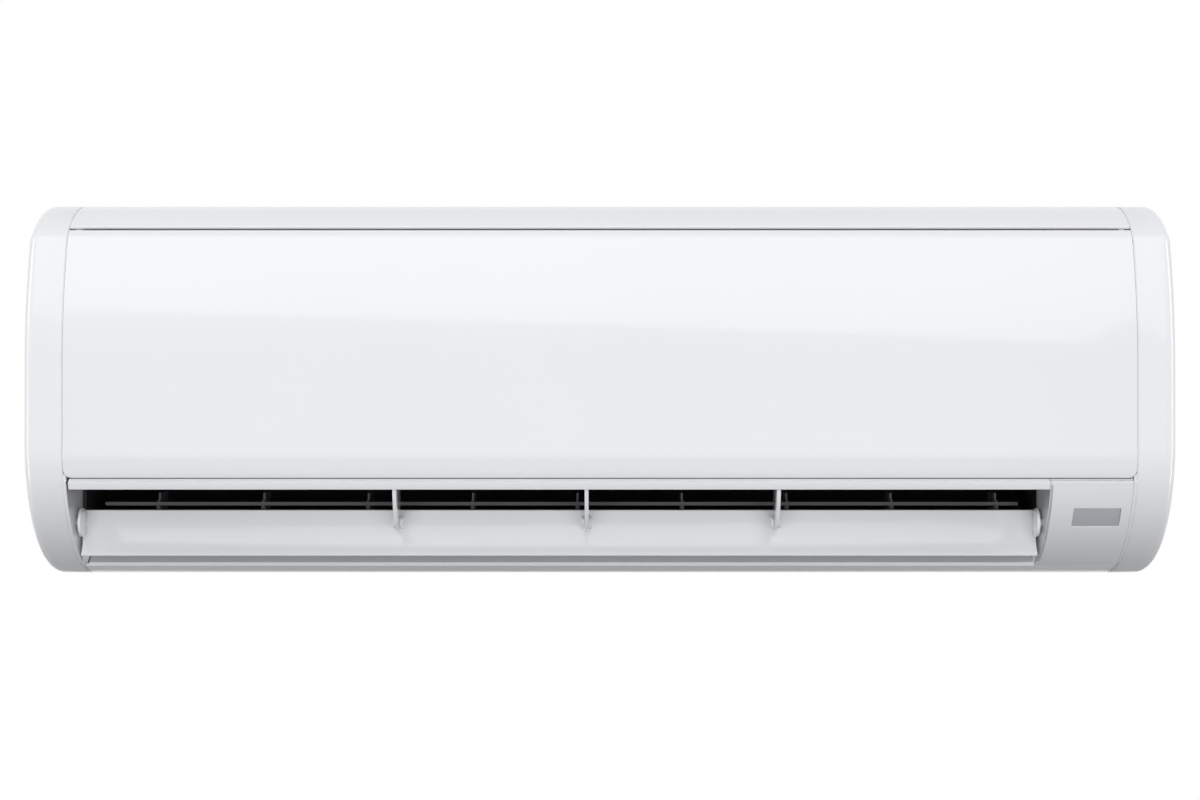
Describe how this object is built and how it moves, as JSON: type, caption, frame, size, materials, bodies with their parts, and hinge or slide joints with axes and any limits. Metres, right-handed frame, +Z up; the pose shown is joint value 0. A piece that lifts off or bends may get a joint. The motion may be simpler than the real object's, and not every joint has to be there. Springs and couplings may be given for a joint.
{
  "type": "mini split indoor unit",
  "caption": "Wall-hung indoor unit with hinged front panel, swinging louver and vanes, cross-flow fan, folded coil, drain pan, filters and wall plate.",
  "frame": {"origin": "on the wall face of the mounting plate, in the middle of the width and height", "axes": "+X right seen from the front, +Y into the wall, +Z up"},
  "size_m": [0.9, 0.205, 0.3],
  "materials": {
    "panel_white": "gloss moulded plastic",
    "casing_white": "satin gloss moulded plastic",
    "inner_white": "fine textured plastic",
    "louver_white": "satin plastic",
    "window_grey": "smoked translucent plastic",
    "board_green": "lacquered circuit board",
    "chassis_black": "fine textured plastic",
    "duct_black": "fine textured plastic",
    "zinc_steel": "zinc plated sheet",
    "bearing_plastic": "acetal",
    "brass_pin": "turned",
    "vane_grey": "fine textured plastic",
    "fan_black": "moulded plastic",
    "shaft_steel": "ground",
    "black_rubber": "moulded rubber",
    "motor_resin": "cast resin",
    "copper_tube": "drawn copper",
    "hose_grey": "ribbed hose",
    "pale_foam": "closed cell foam",
    "union_brass": "machined",
    "filter_grey": "open mesh in a frame",
    "box_black": "flame retardant plastic",
    "terminal_cream": "moulded",
    "sensor_black": "dipped",
    "button_grey": "moulded",
    "coil_fins": "thin sheet fins"
  },
  "bodies": {
    "casing": {"panel_catches": "inner_white", "left_end_cap": "casing_white", "right_end_cap": "casing_white", "top_trim": "casing_white", "intake_grille": "casing_white", "outlet_lip": "casing_white", "display_cover": "casing_white", "display_window": "window_grey", "display_board": "board_green", "bottom_casing": "casing_white", "rear_casing": "chassis_black", "casing_screws": "zinc_steel", "louver_supports": "louver_white", "louver_bush": "bearing_plastic", "louver_motor": "zinc_steel", "vane_base": "duct_black", "fan_bearing": "bearing_plastic", "bearing_holder": "black_rubber", "fan_motor": "motor_resin", "motor_mounts": "black_rubber", "motor_clamp": "zinc_steel", "coil_tubes": "copper_tube", "coil_end_plates": "zinc_steel", "drain_pan": "duct_black", "drain_plug": "black_rubber", "drain_hose": "hose_grey", "gas_pipe": "copper_tube", "liquid_pipe": "copper_tube", "pipe_insulation": "pale_foam", "gas_union": "union_brass", "liquid_union": "union_brass", "mounting_plate": "zinc_steel", "pipe_clamp": "chassis_black", "control_box": "box_black", "control_lid": "box_black", "main_board": "board_green", "terminal_block": "terminal_cream", "room_sensor": "sensor_black", "lower_front_fins": "coil_fins", "upper_front_fins": "coil_fins", "rear_fins": "coil_fins"},
    "panel": {"front_panel": "panel_white"},
    "louver": {"louver": "louver_white", "louver_motor_shaft": "brass_pin"},
    "fan": {"cross_flow_fan": "fan_black", "fan_shaft": "shaft_steel", "motor_shaft": "shaft_steel"},
    "vane_link": {"vane_link": "vane_grey"},
    "left_filter": {"left_filter": "filter_grey"},
    "right_filter": {"right_filter": "filter_grey"},
    "auto_button": {"auto_button": "button_grey"},
    "vane_1": {"vane_1": "vane_grey"},
    "vane_2": {"vane_2": "vane_grey"},
    "vane_3": {"vane_3": "vane_grey"},
    "vane_4": {"vane_4": "vane_grey"},
    "vane_5": {"vane_5": "vane_grey"},
    "vane_6": {"vane_6": "vane_grey"},
    "vane_7": {"vane_7": "vane_grey"},
    "vane_8": {"vane_8": "vane_grey"},
    "vane_9": {"vane_9": "vane_grey"}
  },
  "joints": [
    {"name": "panel_hinge", "type": "hinge", "parent": "casing", "child": "panel", "pos_m": [0, -0.181, 0.1215], "axis": [-1, 0, 0], "range_deg": [0, 65]},
    {"name": "louver_swing", "type": "hinge", "parent": "casing", "child": "louver", "pos_m": [0, -0.163, -0.105], "axis": [1, 0, 0], "range_deg": [-50, 15]},
    {"name": "fan_spin", "type": "hinge", "parent": "casing", "child": "fan", "pos_m": [0, -0.088, -0.028], "axis": [1, 0, 0], "continuous": true},
    {"name": "left_filter_lift", "type": "slide", "parent": "casing", "child": "left_filter", "axis": [0, 0, 1], "range_m": [0, 0.006]},
    {"name": "right_filter_lift", "type": "slide", "parent": "casing", "child": "right_filter", "axis": [0, 0, 1], "range_m": [0, 0.006]},
    {"name": "auto_button_press", "type": "slide", "parent": "casing", "child": "auto_button", "axis": [0, 1, 0], "range_m": [0, 0.0015], "stiffness_N_per_m": 300},
    {"name": "vane_1_swing", "type": "hinge", "parent": "casing", "child": "vane_1", "pos_m": [-0.3575, -0.11, -0.0914], "axis": [0, 0, 1], "range_deg": [-25, 25]},
    {"name": "vane_2_swing", "type": "hinge", "parent": "casing", "child": "vane_2", "pos_m": [-0.2727, -0.11, -0.0914], "axis": [0, 0, 1], "range_deg": [-25, 25]},
    {"name": "vane_3_swing", "type": "hinge", "parent": "casing", "child": "vane_3", "pos_m": [-0.1879, -0.11, -0.0914], "axis": [0, 0, 1], "range_deg": [-25, 25]},
    {"name": "vane_4_swing", "type": "hinge", "parent": "casing", "child": "vane_4", "pos_m": [-0.1031, -0.11, -0.0914], "axis": [0, 0, 1], "range_deg": [-25, 25]},
    {"name": "vane_5_swing", "type": "hinge", "parent": "casing", "child": "vane_5", "pos_m": [-0.0183, -0.11, -0.0914], "axis": [0, 0, 1], "range_deg": [-25, 25]},
    {"name": "vane_6_swing", "type": "hinge", "parent": "casing", "child": "vane_6", "pos_m": [0.0665, -0.11, -0.0914], "axis": [0, 0, 1], "range_deg": [-25, 25]},
    {"name": "vane_7_swing", "type": "hinge", "parent": "casing", "child": "vane_7", "pos_m": [0.1513, -0.11, -0.0914], "axis": [0, 0, 1], "range_deg": [-25, 25]},
    {"name": "vane_8_swing", "type": "hinge", "parent": "casing", "child": "vane_8", "pos_m": [0.2361, -0.11, -0.0914], "axis": [0, 0, 1], "range_deg": [-25, 25]},
    {"name": "vane_9_swing", "type": "hinge", "parent": "casing", "child": "vane_9", "pos_m": [0.3209, -0.11, -0.0914], "axis": [0, 0, 1], "range_deg": [-25, 25]},
    {"name": "vane_link_swing", "type": "hinge", "parent": "vane_1", "child": "vane_link", "pos_m": [-0.3575, -0.136, -0.0914], "axis": [0, 0, 1], "range_deg": [-25, 25]}
  ],
  "couplings": [
    {"joint": "vane_2_swing", "follows": "vane_1_swing", "ratio": 1},
    {"joint": "vane_3_swing", "follows": "vane_1_swing", "ratio": 1},
    {"joint": "vane_4_swing", "follows": "vane_1_swing", "ratio": 1},
    {"joint": "vane_5_swing", "follows": "vane_1_swing", "ratio": 1},
    {"joint": "vane_6_swing", "follows": "vane_1_swing", "ratio": 1},
    {"joint": "vane_7_swing", "follows": "vane_1_swing", "ratio": 1},
    {"joint": "vane_8_swing", "follows": "vane_1_swing", "ratio": 1},
    {"joint": "vane_9_swing", "follows": "vane_1_swing", "ratio": 1},
    {"joint": "vane_link_swing", "follows": "vane_1_swing", "ratio": -1}
  ]
}
